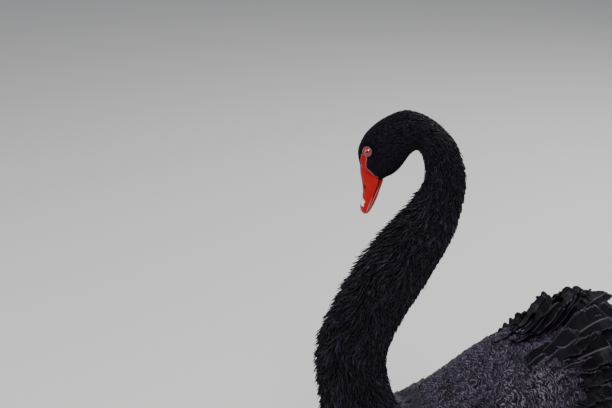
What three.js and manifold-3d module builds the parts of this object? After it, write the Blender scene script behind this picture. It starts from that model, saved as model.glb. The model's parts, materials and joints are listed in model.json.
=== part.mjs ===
// A life-size black swan (Cygnus atratus), standing, with its neck raised in an S
// and its bill pointing down. Millimetres, +Z up, +X towards the breast, +Y to the
// bird's left. The floor is z = 0.
//
// The body is one long loft, from the face over the arched neck to the root of the
// tail, parted by thin cuts. "Forward" and "up" below are measured in the bird's own
// upright plane, from a vertical axis through the root of the neck.
import * as THREE from "three";
import { mergeVertices } from "three/addons/utils/BufferGeometryUtils.js";
import Module from "manifold-3d";

const wasm = await Module();
wasm.setup();

// Driving dimensions
const CUT = 0.4; // width of the cuts between neighbouring pieces
const NECK_AXIS_X = 255; // where the vertical axis through the neck's root stands
const NECK_TURN = 24; // degrees that the head and neck are turned to the bird's right
const AROUND = 24; // facets round the body
const RINGS_PER_FRAME = 2;

const BILL_LENGTH = 66;
const EYE = { forward: -4.5, up: 732, side: 13.2, radius: 6.5 };
const TARSUS = { radius: 6.5, ankleRadius: 10 };
const TOE = { length: 118, radius: 6.2, spread: 27, clawLength: 13 };
const WEB_THICKNESS = 2.4;
const TAIL = { length: 138, feathers: 7, spread: 42, thickness: 5, feather: 38 };
const WING_CLEARANCE = 1.8; // between the flat facets of the wing and the trunk
const WING_TIP_REACH = 36; // how far the flight feathers pass the end of the trunk
const RUFFLE = {
  length: 108,
  width: 58,
  thickness: 3,
  cup: 7,
  columnLifts: [62, 42, 20], // from the back down the flank
  lineLifts: [0.6, 1, 0.75], // from the front line to the hindmost
};

// Frames of the body: [back forward, back up, belly forward, belly up, half width, squareness].
// Squareness is the exponent of the section: 2 is an ellipse, more has fuller flanks.
const FRAMES = {
  face: [3, 708, -25, 690, 14, 2.3],
  lore: [6, 724, -33, 695, 18.5, 2.6],
  brow: [3, 737, -41, 700, 21.5, 2.7],
  cheek: [-6, 753, -50, 709, 23.5, 2.4],
  crown: [-24, 769, -59, 722, 23, 2.1],
  occiput: [-47, 780, -65, 728, 22, 2],
  nape: [-66, 779, -69, 729, 21, 2],
  archTop: [-93, 764, -73, 726, 20.5, 2],
  archBack: [-118, 737, -78, 717, 22, 2],
  archFoot: [-132, 698, -81, 698, 24.5, 2],
  neckNarrow: [-133, 672, -78, 679, 27, 2],
  neckUpper: [-126, 628, -63, 652, 32, 2],
  neckMiddle: [-114, 594, -43, 626, 38, 2],
  neckBroad: [-90, 546, -3, 575, 43, 2],
  neckLower: [-58, 484, 29, 514, 45, 2],
  neckBow: [-41, 438, 52, 461, 46.5, 2],
  neckFoot: [-41, 398, 57, 405, 48, 2],
  neckRoot: [-50, 364, 50, 352, 53, 2],
  crop: [-60, 341, 48, 304, 64, 2],
  breast: [-78, 328, 32, 240, 80, 2],
  keel: [-104, 323, -16, 188, 94, 2],
  shoulder: [-142, 331, -95, 158, 102, 2],
  back: [-196, 348, -180, 149, 106, 2],
  loin: [-255, 366, -250, 154, 104, 2],
  hip: [-315, 371, -316, 174, 95, 2],
  rump: [-372, 360, -374, 208, 78, 2],
  vent: [-420, 342, -422, 254, 53, 2],
  tailRoot: [-452, 330, -455, 290, 34, 2],
};
const FRAME_NAMES = Object.keys(FRAMES);
const LAST = FRAME_NAMES.length - 1;
const at = (name) => FRAME_NAMES.indexOf(name);

// Shared shape code
const radians = THREE.MathUtils.degToRad;
const v3 = (x, y, z) => new THREE.Vector3(x, y, z);

/** Rings of equal point count, joined in order and closed at both ends by fans. */
function ringsGeometry(rings) {
  const count = rings[0].length;
  const points = rings.flat();
  const faces = [];
  for (let i = 0; i + 1 < rings.length; i++)
    for (let j = 0; j < count; j++) {
      const a = i * count + j;
      const b = i * count + ((j + 1) % count);
      faces.push(a, b, b + count, a, b + count, a + count);
    }
  const ends = [
    [0, -1],
    [(rings.length - 1) * count, 1],
  ];
  for (const [first, sense] of ends) {
    const middle = new THREE.Vector3();
    for (let j = 0; j < count; j++) middle.addScaledVector(points[first + j], 1 / count);
    const hub = points.push(middle) - 1;
    for (let j = 0; j < count; j++) {
      const a = first + j;
      const b = first + ((j + 1) % count);
      faces.push(...(sense > 0 ? [a, b, hub] : [b, a, hub]));
    }
  }
  const geometry = new THREE.BufferGeometry().setFromPoints(points);
  geometry.setIndex(faces);
  return geometry;
}

/** A geometry as a manifold solid, turned the right way out. */
function solid(geometry) {
  const bare = geometry.clone();
  for (const name of ["normal", "uv"]) bare.deleteAttribute(name);
  const merged = mergeVertices(bare, 1e-3);
  const build = (triVerts) =>
    new wasm.Manifold(
      new wasm.Mesh({
        numProp: 3,
        vertProperties: merged.attributes.position.array,
        triVerts,
      }),
    );
  const faces = new Uint32Array(merged.index.array);
  const made = build(faces);
  return made.volume() > 0 ? made : build(faces.reverse());
}

const ringsSolid = (rings) => solid(ringsGeometry(rings));

/** The largest single body of a solid, so that slivers left by a cut are dropped. */
function largest(shape) {
  const bodies = shape.decompose();
  return bodies.reduce((a, b) => (a.volume() > b.volume() ? a : b));
}

function geometryOf(shape) {
  const mesh = shape.getMesh();
  const geometry = new THREE.BufferGeometry();
  geometry.setAttribute("position", new THREE.BufferAttribute(mesh.vertProperties, 3));
  geometry.setIndex(new THREE.BufferAttribute(mesh.triVerts, 1));
  geometry.computeVertexNormals();
  return geometry;
}

function ellipsoid(centre, radii, segments = 14) {
  const ball = new THREE.SphereGeometry(1, segments, segments / 2);
  ball.scale(radii.x, radii.y, radii.z);
  ball.translate(centre.x, centre.y, centre.z);
  return solid(ball);
}

function box(low, high) {
  const size = high.clone().sub(low);
  const block = new THREE.BoxGeometry(size.x, size.y, size.z);
  block.translate(...low.clone().add(high).multiplyScalar(0.5).toArray());
  return solid(block);
}

/** A tube of round rings along a list of [point, radius], each ring square to the path. */
function tube(stations, sides = 10) {
  const path = stations.map(([point]) => point);
  const rings = stations.map(([point, radius], i) => {
    const before = path[Math.max(i - 1, 0)];
    const after = path[Math.min(i + 1, path.length - 1)];
    const along = after.clone().sub(before).normalize();
    const side = v3(0, 1, 0).cross(along).normalize();
    const up = along.clone().cross(side);
    return Array.from({ length: sides }, (_, j) => {
      const angle = (2 * Math.PI * j) / sides;
      return point
        .clone()
        .addScaledVector(side, radius * Math.cos(angle))
        .addScaledVector(up, radius * Math.sin(angle));
    });
  });
  return ringsSolid(rings);
}

/** The same point or solid on the other side of the bird. */
const mirrored = (shape) => shape.mirror([0, 1, 0]);

// Body: face, head, neck and trunk in one loft
const rows = Object.values(FRAMES);
const spline = (pick) => new THREE.SplineCurve(rows.map((row) => new THREE.Vector2(...pick(row))));
const backLine = spline(([f, u]) => [f, u]);
const bellyLine = spline(([, , f, u]) => [f, u]);
const widthLine = spline(([, , , , width, square]) => [width, square]);

/** How far the upright plane is turned at a frame: fully in the neck, not at all in the trunk. */
function turnAt(frame) {
  const share = 1 - THREE.MathUtils.smoothstep(frame, at("neckBow"), at("shoulder"));
  return radians(NECK_TURN) * share;
}

/** A place in the upright plane, forward and up, with a sideways distance to the left. */
function place(forward, side, up, turn) {
  return v3(
    NECK_AXIS_X + forward * Math.cos(turn) + side * Math.sin(turn),
    -forward * Math.sin(turn) + side * Math.cos(turn),
    up,
  );
}

/** A point of the body's surface: angle 0 is the back, a quarter turn the left flank. */
function bodyPoint(frame, angle, grow = 0, shift = 0) {
  const share = THREE.MathUtils.clamp(frame / LAST, 0, 1);
  const back = backLine.getPoint(share);
  const belly = bellyLine.getPoint(share);
  const middle = back.clone().add(belly).multiplyScalar(0.5);
  const toBack = back.clone().sub(middle);
  const depth = toBack.length() + grow;
  toBack.normalize();
  const along = new THREE.Vector2(-toBack.y, toBack.x);
  const { x: width, y: square } = widthLine.getPoint(share);
  const [up, side] = [Math.cos(angle), Math.sin(angle)];
  const fullness = (Math.abs(up) ** square + Math.abs(side) ** square) ** (-1 / square);
  middle.addScaledVector(toBack, depth * up * fullness).addScaledVector(along, shift);
  return place(middle.x, (width + grow) * side * fullness, middle.y, turnAt(frame));
}

function bodyRing(frame, grow = 0, shift = 0) {
  return Array.from({ length: AROUND }, (_, j) =>
    bodyPoint(frame, (2 * Math.PI * j) / AROUND, grow, shift),
  );
}

/** A length of the body between two named frames, drawn back from both by half a cut. */
function bodyLength(from, to, grow = 0) {
  const start = at(from);
  const end = at(to);
  const steps = (end - start) * RINGS_PER_FRAME;
  return ringsSolid(
    Array.from({ length: steps + 1 }, (_, i) => {
      const shift = i === 0 ? CUT / 2 : i === steps ? -CUT / 2 : 0;
      return bodyRing(start + i / RINGS_PER_FRAME, grow, shift);
    }),
  );
}

// Bill
// Stations down the bill: [share of its length, culmen forward, mouth forward, chin forward, half width].
const BILL_STATIONS = [
  [0, 3, -22, -29, 13.5],
  [0.14, 2.6, -21, -27, 13.2],
  [0.35, 0.2, -18.3, -24, 12.4],
  [0.55, -1.2, -14.6, -20.3, 12],
  [0.72, 0.3, -11.2, -16.7, 12],
  [0.86, 1.8, -8.2, -12.8, 11.6],
  [0.95, 0.6, -6.6, -10, 8.6],
  [1, -2.6, -5.8, -7.8, 4.2],
];
const BILL_TOP = 708;
const BILL_SLOPE = 0.62; // rise of the face's front plane per mm of depth

/** One half of the bill between two of the station columns; the mouth edge is flat. */
function mandible(domeColumn, edgeOffset, sides = 10) {
  const turn = turnAt(0);
  return ringsSolid(
    BILL_STATIONS.map((station) => {
      const [share, culmen, mouth, , width] = station;
      const edge = mouth + edgeOffset;
      const dome = station[domeColumn];
      const rise = BILL_SLOPE * (1 - share);
      const height = (forward) => BILL_TOP - CUT - share * BILL_LENGTH + (forward - culmen) * rise;
      const half = Array.from({ length: sides + 1 }, (_, j) => {
        const angle = (Math.PI * j) / sides;
        const forward = edge + (dome - edge) * Math.sin(angle) ** 0.75;
        return place(forward, width * Math.cos(angle), height(forward), turn);
      });
      return half;
    }),
  );
}

// Wings: curved plates that lie on the flanks, with the ruffled feathers on top
// Stations: [frame, top angle, bottom angle, thickness].
const WING_STATIONS = [
  [18.7, 62, 84, 4],
  [19.2, 36, 104, 9],
  [20, 22, 112, 13],
  [21, 12, 113, 14],
  [22, 7, 110, 14],
  [23, 5, 105, 16],
  [24, 5, 100, 20],
  [25, 6, 95, 24],
  [26, 8, 88, 22],
  [26.9, 14, 70, 12],
];
const wingSpline = (a, b) =>
  new THREE.SplineCurve(WING_STATIONS.map((row) => new THREE.Vector2(row[a], row[b])));
const wingPlace = wingSpline(0, 3);
const wingEdges = wingSpline(1, 2);

/** A point on the left wing: share runs from shoulder to tip, across from back to belly. */
function wingPoint(share, across, rise = 1) {
  const { x: frame, y: thickness } = wingPlace.getPoint(share);
  const { x: top, y: bottom } = wingEdges.getPoint(share);
  const angle = radians(top + (bottom - top) * across);
  const crown = 0.3 + 0.7 * Math.sin(Math.PI * across) ** 0.5;
  const point = bodyPoint(frame, angle, WING_CLEARANCE + thickness * crown * rise);
  point.x -= WING_TIP_REACH * THREE.MathUtils.smoothstep(share, 0.8, 1);
  return point;
}

function wingPlate(steps = 12, across = 7) {
  const shares = Array.from({ length: across + 1 }, (_, j) => j / across);
  return ringsSolid(
    Array.from({ length: steps + 1 }, (_, i) => [
      ...shares.map((b) => wingPoint(i / steps, b)),
      ...shares.toReversed().map((b) => wingPoint(i / steps, b, 0)),
    ]),
  );
}

/** A ruffled wing feather: a broad plate that leaves the wing and curls up at its end. */
function ruffle(line, column) {
  const rootShare = 0.56 + 0.12 * line;
  const across = 0.06 + 0.24 * column;
  const root = wingPoint(rootShare, across, 0.6);
  const out = wingPoint(rootShare, across, 2).sub(root).normalize();
  const back = v3(-1, 0.05 * column, -0.1);
  const side = out.clone().cross(back).normalize();
  const highest = RUFFLE.columnLifts[column] * RUFFLE.lineLifts[line];
  const steps = 4;
  return ringsSolid(
    Array.from({ length: steps + 1 }, (_, i) => {
      const share = i / steps;
      const lift = highest * Math.sin(share * Math.PI * 0.62) ** 1.4;
      const run = RUFFLE.length * (share - 0.15 * share ** 3);
      const broad = 0.5 + 0.5 * Math.sin(Math.min(share * 1.5, 1) * 1.57) - 0.35 * share ** 6;
      const cup = RUFFLE.cup * Math.sin(Math.PI * share);
      const middle = root.clone().addScaledVector(back, run).addScaledVector(out, lift);
      const corner = (sign, sink) =>
        middle
          .clone()
          .addScaledVector(side, (sign * RUFFLE.width * broad) / 2)
          .addScaledVector(out, (Math.abs(sign) - 0.5) * cup - sink);
      const t = RUFFLE.thickness;
      return [corner(-1, 0), corner(0, 0), corner(1, 0), corner(1, t), corner(0, t), corner(-1, t)];
    }),
  );
}

// Tail: a short fan of broad feathers
function tailFeather(index) {
  const share = index / (TAIL.feathers - 1) - 0.5;
  const turn = radians(TAIL.spread) * share;
  const root = v3(NECK_AXIS_X - 430, 26 * share, 320);
  const along = v3(-Math.cos(turn), Math.sin(turn), -0.06);
  const side = v3(Math.sin(turn), Math.cos(turn), 0);
  const up = v3(0, 0, 1);
  const reach = TAIL.length * (1 - 0.35 * share ** 2);
  const outline = [0.5, 0.85, 1, 0.92, 0.45];
  return ringsSolid(
    outline.map((broad, i) => {
      const run = (reach * i) / (outline.length - 1);
      const half = (TAIL.feather / 2) * broad;
      const sink = 18 * Math.abs(share) + 1.5 * (index % 2);
      const middle = root.clone().addScaledVector(along, run).addScaledVector(up, -sink);
      const corner = (sign, lift) =>
        middle.clone().addScaledVector(side, sign * half).addScaledVector(up, lift);
      const t = TAIL.thickness;
      return [corner(-1, 0), corner(0, 2), corner(1, 0), corner(1, -t), corner(0, -t), corner(-1, -t)];
    }),
  );
}

// Legs and feet, for the left side
const HIP = v3(NECK_AXIS_X - 226, 54, 200);
const KNEE_FRONT = v3(NECK_AXIS_X - 236, 59, 164);
const ANKLE = v3(NECK_AXIS_X - 268, 62, 112);
const FOOT_JOINT = v3(NECK_AXIS_X - 240, 64, 15);

function thigh() {
  return tube(
    [
      [HIP.clone().add(v3(4, -8, 14)), 30],
      [HIP, 38],
      [KNEE_FRONT, 30],
      [KNEE_FRONT.clone().lerp(ANKLE, 0.55), 17],
      [KNEE_FRONT.clone().lerp(ANKLE, 0.8), 10.5],
    ],
    14,
  );
}

function tarsus() {
  const upper = KNEE_FRONT.clone().lerp(ANKLE, 0.8 + CUT / 40);
  const { radius, ankleRadius } = TARSUS;
  return tube([
    [upper, radius + 1.5],
    [ANKLE.clone().lerp(upper, 0.45), ankleRadius - 1],
    [ANKLE, ankleRadius],
    [ANKLE.clone().lerp(FOOT_JOINT, 0.14), radius + 1],
    [ANKLE.clone().lerp(FOOT_JOINT, 0.5), radius - 0.6],
    [ANKLE.clone().lerp(FOOT_JOINT, 0.86), radius],
    [ANKLE.clone().lerp(FOOT_JOINT, 0.97), radius + 2],
  ]);
}

const toeDirection = (angle) => v3(Math.cos(angle), Math.sin(angle), 0);

function toe(angle, length) {
  const along = toeDirection(angle);
  const { radius, clawLength } = TOE;
  const run = (share, up, r) => [
    v3(FOOT_JOINT.x, FOOT_JOINT.y, up).addScaledVector(along, length * share),
    r,
  ];
  const knuckles = [
    run(-0.04, 8, radius + 1.4),
    run(0.14, 5.5, radius + 0.6),
    run(0.32, 4.4, radius - 1),
    run(0.4, 4.8, radius),
    run(0.62, 3.6, radius - 1.4),
    run(0.7, 4.2, radius - 0.6),
    run(0.9, 3, radius - 1.8),
    run(1, 3.4, radius - 1.8),
    run(1 + clawLength / length / 2, 4.2, 2.6),
    run(1 + clawLength / length, 2.2, 0.9),
  ];
  return tube(knuckles, 7);
}

/** The web between two toes: a thin sheet whose free edge is drawn in between the toes. */
function web(angleA, lengthA, angleB, lengthB) {
  const steps = 6;
  const outline = [v3(FOOT_JOINT.x - 3, FOOT_JOINT.y, 0)];
  for (let i = 0; i <= steps; i++) {
    const share = i / steps;
    const angle = angleA + (angleB - angleA) * share;
    const slack = 1 - 0.2 * Math.sin(Math.PI * share);
    const length = (lengthA + (lengthB - lengthA) * share) * 0.94 * slack;
    outline.push(toeDirection(angle).multiplyScalar(length).add(v3(FOOT_JOINT.x, FOOT_JOINT.y, 0)));
  }
  const shape = new THREE.Shape(outline.map((p) => new THREE.Vector2(p.x, p.y)));
  return solid(new THREE.ExtrudeGeometry(shape, { depth: WEB_THICKNESS, bevelEnabled: false }));
}

function foot() {
  const heading = radians(6);
  const spread = radians(TOE.spread);
  const { length } = TOE;
  const toes = [
    [heading - spread, length * 0.8],
    [heading, length],
    [heading + spread, length * 0.9],
  ];
  const hind = tube([
    [v3(FOOT_JOINT.x - 4, FOOT_JOINT.y - 3, 19), 4.2],
    [v3(FOOT_JOINT.x - 15, FOOT_JOINT.y - 6, 16), 4],
    [v3(FOOT_JOINT.x - 24, FOOT_JOINT.y - 8, 12), 2.8],
    [v3(FOOT_JOINT.x - 32, FOOT_JOINT.y - 10, 8), 1],
  ]);
  const joint = ellipsoid(FOOT_JOINT.clone().setZ(9), v3(13, 10.5, 10));
  const webs = [0, 1].map((i) => web(...toes[i], ...toes[i + 1]));
  const raised = [...toes.map(([angle, reach]) => toe(angle, reach)), ...webs, hind, joint];
  const whole = raised.reduce((sum, piece) => sum.add(piece));
  const above = box(v3(-400, -400, 0), v3(600, 400, 60));
  return largest(whole.intersect(above));
}

// Assembly
const swan = new THREE.Group();

const paint = (color, roughness) => new THREE.MeshStandardMaterial({ color, roughness, metalness: 0 });
const plumage = paint(0x16151a, 0.75);
const wingPlumage = paint(0x1d1b20, 0.7);
const billRed = paint(0xc4101c, 0.35);
const legSkin = paint(0x1c1b1c, 0.55);
const eyeRed = paint(0xb3101a, 0.1);

function add(name, shape, material) {
  const mesh = new THREE.Mesh(geometryOf(shape), material);
  mesh.name = name;
  swan.add(mesh);
}

const sides = [
  ["left", (shape) => shape],
  ["right", mirrored],
];

/** A place on the turned head; side is to the bird's left. */
const onHead = (forward, side, up) => place(forward, side, up, turnAt(0));

const eyeBall = (side, grow) => {
  const radius = EYE.radius + grow;
  return ellipsoid(onHead(EYE.forward, side * EYE.side, EYE.up), v3(radius, radius, radius));
};
const sockets = [1, -1].map((side) => eyeBall(side, CUT));
add("head", sockets.reduce((head, socket) => head.subtract(socket), bodyLength("face", "nape")), plumage);
add("eye_left", eyeBall(1, 0), eyeRed);
add("eye_right", eyeBall(-1, 0), eyeRed);
add("bill_upper", mandible(1, 0.3), billRed);
add("bill_lower", mandible(3, -0.3), billRed);

const NECK_CUTS = ["nape", "archFoot", "neckMiddle", "neckLower", "neckRoot"];
["neck_arch", "neck_upper", "neck_middle", "neck_lower"].forEach((name, i) =>
  add(name, bodyLength(NECK_CUTS[i], NECK_CUTS[i + 1]), plumage),
);

const trunk = bodyLength("neckRoot", "tailRoot");
const trunkClear = bodyLength("neckRoot", "tailRoot", CUT);
add("trunk", trunk, plumage);

const feathers = Array.from({ length: TAIL.feathers }, (_, i) => tailFeather(i));
const tail = feathers.reduce((sum, feather) => sum.add(feather));
add("tail", largest(tail.subtract(trunkClear)), plumage);

const beside = box(v3(-900, CUT / 2, 0), v3(900, 400, 900));
const ruffles = RUFFLE.lineLifts.flatMap((_, line) =>
  RUFFLE.columnLifts.map((__, column) => ruffle(line, column)),
);
const wing = ruffles
  .reduce((sum, piece) => sum.add(piece), wingPlate())
  .intersect(beside)
  .subtract(trunkClear)
  .subtract(tail);
const thighShape = thigh().subtract(trunkClear);
for (const [side, turned] of sides) {
  add(`wing_${side}`, turned(largest(wing)), wingPlumage);
  add(`thigh_${side}`, turned(largest(thighShape)), plumage);
  add(`tarsus_${side}`, turned(tarsus().subtract(foot())), legSkin);
  add(`foot_${side}`, turned(foot()), legSkin);
}

export default swan;
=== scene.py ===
import json

import bpy
import numpy as np
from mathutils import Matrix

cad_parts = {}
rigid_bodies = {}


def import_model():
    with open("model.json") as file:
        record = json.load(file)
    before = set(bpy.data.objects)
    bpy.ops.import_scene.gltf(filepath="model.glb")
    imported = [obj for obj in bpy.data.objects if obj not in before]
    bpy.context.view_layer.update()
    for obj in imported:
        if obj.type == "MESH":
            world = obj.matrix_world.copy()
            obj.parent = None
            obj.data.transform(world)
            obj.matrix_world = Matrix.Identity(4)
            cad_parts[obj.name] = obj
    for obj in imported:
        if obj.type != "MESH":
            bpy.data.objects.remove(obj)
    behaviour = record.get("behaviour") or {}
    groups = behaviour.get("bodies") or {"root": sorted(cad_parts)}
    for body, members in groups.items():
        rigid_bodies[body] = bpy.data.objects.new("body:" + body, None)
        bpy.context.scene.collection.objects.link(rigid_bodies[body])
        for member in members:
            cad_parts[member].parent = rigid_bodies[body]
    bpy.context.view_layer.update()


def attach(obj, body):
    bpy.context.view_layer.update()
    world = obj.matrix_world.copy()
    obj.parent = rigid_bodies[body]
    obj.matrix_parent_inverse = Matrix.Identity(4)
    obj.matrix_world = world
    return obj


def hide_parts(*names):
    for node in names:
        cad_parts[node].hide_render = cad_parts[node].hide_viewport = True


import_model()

# Camera: it looks down at the bird's left side from about a man's height, a little
# in front of it, through a 60 mm lens on a 36 mm wide frame, with no shift.
CAMERA_PLACE = (0.8179, 1.0867, 1.1724)
CAMERA_PITCH = np.radians(23)
CAMERA_YAW = np.radians(24)
camera_data = bpy.data.cameras.new("camera")
camera_data.lens = 60
camera_data.sensor_width = 36
camera = bpy.data.objects.new("camera", camera_data)
camera.location = CAMERA_PLACE
camera.rotation_euler = (np.pi / 2 - CAMERA_PITCH, 0, np.pi - CAMERA_YAW)
bpy.context.scene.collection.objects.link(camera)
bpy.context.scene.camera = camera

# Body form: the bird's outline as frames from the face over the neck to the tail's root,
# and one past it. Each is [back forward, back up, belly forward, belly up, half width,
# squareness] in millimetres, in an upright plane through the root of the neck.
MM = 0.001
NECK_AXIS_X = 255
NECK_TURN = np.radians(24)
BODY = np.array([
    [3, 708, -25, 690, 14, 2.3],
    [6, 724, -33, 695, 18.5, 2.6],
    [3, 737, -41, 700, 21.5, 2.7],
    [-6, 753, -50, 709, 23.5, 2.4],
    [-24, 769, -59, 722, 23, 2.1],
    [-47, 780, -65, 728, 22, 2],
    [-66, 779, -69, 729, 21, 2],
    [-93, 764, -73, 726, 20.5, 2],
    [-118, 737, -78, 717, 22, 2],
    [-132, 698, -81, 698, 24.5, 2],
    [-133, 672, -78, 679, 27, 2],
    [-126, 628, -63, 652, 32, 2],
    [-114, 594, -43, 626, 38, 2],
    [-90, 546, -3, 575, 43, 2],
    [-58, 484, 29, 514, 45, 2],
    [-41, 438, 52, 461, 46.5, 2],
    [-41, 398, 57, 405, 48, 2],
    [-50, 364, 50, 352, 53, 2],
    [-60, 341, 48, 304, 64, 2],
    [-78, 325, 32, 240, 80, 2],
    [-104, 313, -16, 188, 94, 2],
    [-142, 319, -95, 158, 102, 2],
    [-196, 337, -180, 149, 106, 2],
    [-255, 360, -250, 154, 104, 2],
    [-315, 371, -316, 174, 95, 2],
    [-372, 360, -374, 208, 78, 2],
    [-420, 342, -422, 254, 53, 2],
    [-452, 330, -455, 290, 34, 2],
    [-520, 324, -520, 303, 52, 2],
])
FACE, NECK_BOW, SHOULDER, TAIL_ROOT = 0, 15, 21, 27


def along_table(table, row):
    """A Catmull-Rom curve through the table's rows, at fractional row numbers."""
    last = len(table) - 1
    row = np.clip(row, 0, last)
    first = np.minimum(row.astype(int), last - 1)
    t = (row - first)[..., None]
    before, start = table[np.maximum(first - 1, 0)], table[first]
    end, after = table[first + 1], table[np.minimum(first + 2, last)]
    leave, arrive = (end - before) / 2, (after - start) / 2
    cubic = (2 * start - 2 * end + leave + arrive) * t**3
    square = (-3 * start + 3 * end - 2 * leave - arrive) * t**2
    return cubic + square + leave * t + start


def smoothstep(value, low, high):
    """0 below low, 1 above high, and 3t^2 - 2t^3 between them."""
    t = np.clip((value - low) / (high - low), 0, 1)
    return t * t * (3 - 2 * t)


def in_plane(forward, side, up, turn):
    """A place in the upright plane turned by turn, in metres in the bird's own frame."""
    x = NECK_AXIS_X + forward * np.cos(turn) + side * np.sin(turn)
    y = -forward * np.sin(turn) + side * np.cos(turn)
    return np.stack(np.broadcast_arrays(x, y, up), axis=-1) * MM


def body_surface(row, angle, lift=0.0):
    """The body's outline grown by lift millimetres: at each row a superellipse, whose
    angle is 0 on the back and a quarter turn on the left flank."""
    row, angle, lift = np.broadcast_arrays(np.asarray(row, float), angle, lift)
    at_row = along_table(BODY, row)
    middle = (at_row[..., 0:2] + at_row[..., 2:4]) / 2
    reach = at_row[..., 0:2] - middle
    depth = np.linalg.norm(reach, axis=-1)
    up, side = np.cos(angle), np.sin(angle)
    power = at_row[..., 5]
    fullness = (np.abs(up) ** power + np.abs(side) ** power) ** (-1 / power)
    spot = middle + reach / depth[..., None] * ((depth + lift) * up * fullness)[..., None]
    turn = NECK_TURN * (1 - smoothstep(row, NECK_BOW, SHOULDER))
    return in_plane(spot[..., 0], (at_row[..., 4] + lift) * side * fullness, spot[..., 1], turn)


# Depth of the coat in millimetres, from the face to the tail: how far the skin lies
# under the tips of the feathers, and how long the feathers of each place are.
COAT_ROWS = [0, 1, 3, 6, 9, 12, 15, 17, 19, 22, 27]
COAT_DEPTHS = [0.2, 0.7, 1.3, 2.0, 2.8, 3.6, 4.6, 6, 8, 9, 5]
FEATHER_LENGTHS = [2.2, 2.8, 4.2, 8, 13, 16, 18, 21, 25, 30, 32]


def coat_depth(row):
    """Coat depth at a row, by straight lines between the places above."""
    return np.interp(row, COAT_ROWS, COAT_DEPTHS)


def feather_length(row):
    """Feather length at a row, by straight lines between the places above."""
    return np.interp(row, COAT_ROWS, FEATHER_LENGTHS)


# Skin of the whole bird: one closed surface of head, neck, trunk, thighs, scaly legs and
# webbed feet. The legs are tubes joined to the trunk by a boolean union, so no seam shows.
BODY_ROWS, BODY_AROUND = 270, 120


def grid_faces(rows, columns, wrap):
    """Quads of a grid of points, facing out where rows run back and columns run from
    the bird's back to its left. wrap joins the last column to the first."""
    i, j = np.meshgrid(np.arange(rows - 1), np.arange(columns - (not wrap)), indexing="ij")
    right = (j + 1) % columns
    corners = [i * columns + j, i * columns + right, (i + 1) * columns + right, (i + 1) * columns + j]
    return np.stack(corners, axis=-1).reshape(-1, 4)


def smooth_mesh(name, points, *faces):
    """A smooth mesh from an array of points and arrays of faces, each array with its own
    number of corners, and the corners' point numbers in order."""
    corners = np.concatenate([part.ravel() for part in faces]).astype(np.int32)
    sizes = np.repeat([part.shape[1] for part in faces], [len(part) for part in faces])
    mesh = bpy.data.meshes.new(name)
    mesh.vertices.add(points.size // 3)
    mesh.vertices.foreach_set("co", points.astype(np.float32).ravel())
    mesh.loops.add(len(corners))
    mesh.loops.foreach_set("vertex_index", corners)
    mesh.polygons.add(len(sizes))
    mesh.polygons.foreach_set("loop_start", (np.cumsum(sizes) - sizes).astype(np.int32))
    mesh.update(calc_edges=True)
    mesh.polygons.foreach_set("use_smooth", np.ones(len(sizes), bool))
    return mesh, corners


def place_piece(name, mesh, materials=()):
    """A mesh as an object at the origin, in the scene."""
    piece = bpy.data.objects.new(name, mesh)
    bpy.context.scene.collection.objects.link(piece)
    for material in materials:
        mesh.materials.append(material)
    return piece


def closed_tube(name, rings):
    """A closed mesh of equal rings, an array of (rings, points, 3), with a fan on each end."""
    count, around = rings.shape[:2]
    points = np.concatenate([rings.reshape(-1, 3), rings[[0, -1]].mean(axis=1)])
    start = np.arange(around)
    after = (start + 1) % around
    end, hub = (count - 1) * around, np.full(around, count * around)
    first = np.stack([start, hub, after], axis=-1)
    last = np.stack([end + start, end + after, hub + 1], axis=-1)
    return smooth_mesh(name, points, grid_faces(count, around, True), first, last)[0]


def unit(vectors):
    """Vectors scaled to a length of one."""
    return vectors / np.linalg.norm(vectors, axis=-1, keepdims=True)


def square_to(along):
    """Two unit directions square to a path's: the first is also square to the bird's
    left, and the second is square to both."""
    along = unit(along)
    side = unit(np.cross([0.0, 1.0, 0.0], along))
    return side, np.cross(along, side)


def path_tube(path, radii, around=32, floor=None):
    """Rings round a path of points in millimetres: each is a circle square to the path,
    and no lower than floor."""
    side, across = square_to(np.gradient(path, axis=0))
    angle = np.linspace(0, 2 * np.pi, around, endpoint=False)
    radii = np.broadcast_to(np.asarray(radii, float).T, (around, len(path))).T[..., None]
    first, second = np.cos(angle)[None, :, None], np.sin(angle)[None, :, None]
    rings = path[:, None] + radii * (side[:, None] * first + across[:, None] * second)
    if floor is not None:
        rings[..., 2] = np.maximum(rings[..., 2], floor)
    return rings * MM


def smooth_path(points, count):
    """A Catmull-Rom curve through a few points, as count points."""
    return along_table(np.array(points, float), np.linspace(0, len(points) - 1, count))


rows = np.linspace(FACE, TAIL_ROOT, BODY_ROWS)[:, None]
angles = np.linspace(0, 2 * np.pi, BODY_AROUND, endpoint=False)[None, :]
skin = place_piece("skin", closed_tube("skin", body_surface(rows, angles, -coat_depth(rows))))

HIP_JOINT = np.array([NECK_AXIS_X - 226, 54, 200.0])
KNEE_FRONT = np.array([NECK_AXIS_X - 236, 59, 164.0])
ANKLE = np.array([NECK_AXIS_X - 268, 62, 112.0])
FOOT_JOINT = np.array([NECK_AXIS_X - 240, 64, 15.0])
TOE_LENGTH, TOE_SPREAD, FOOT_HEADING, CLAW_LENGTH = 118, np.radians(27), np.radians(6), 13
TOES = [
    (FOOT_HEADING - TOE_SPREAD, TOE_LENGTH * 0.8),
    (FOOT_HEADING, TOE_LENGTH),
    (FOOT_HEADING + TOE_SPREAD, TOE_LENGTH * 0.9),
]
LEG_PATH = np.array([
    HIP_JOINT + [4, -8, 14],
    HIP_JOINT,
    KNEE_FRONT,
    KNEE_FRONT + 0.6 * (ANKLE - KNEE_FRONT),
    ANKLE,
    ANKLE + 0.25 * (FOOT_JOINT - ANKLE),
    ANKLE + 0.65 * (FOOT_JOINT - ANKLE),
    FOOT_JOINT,
    FOOT_JOINT + [6, 0, -6],
])
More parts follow.
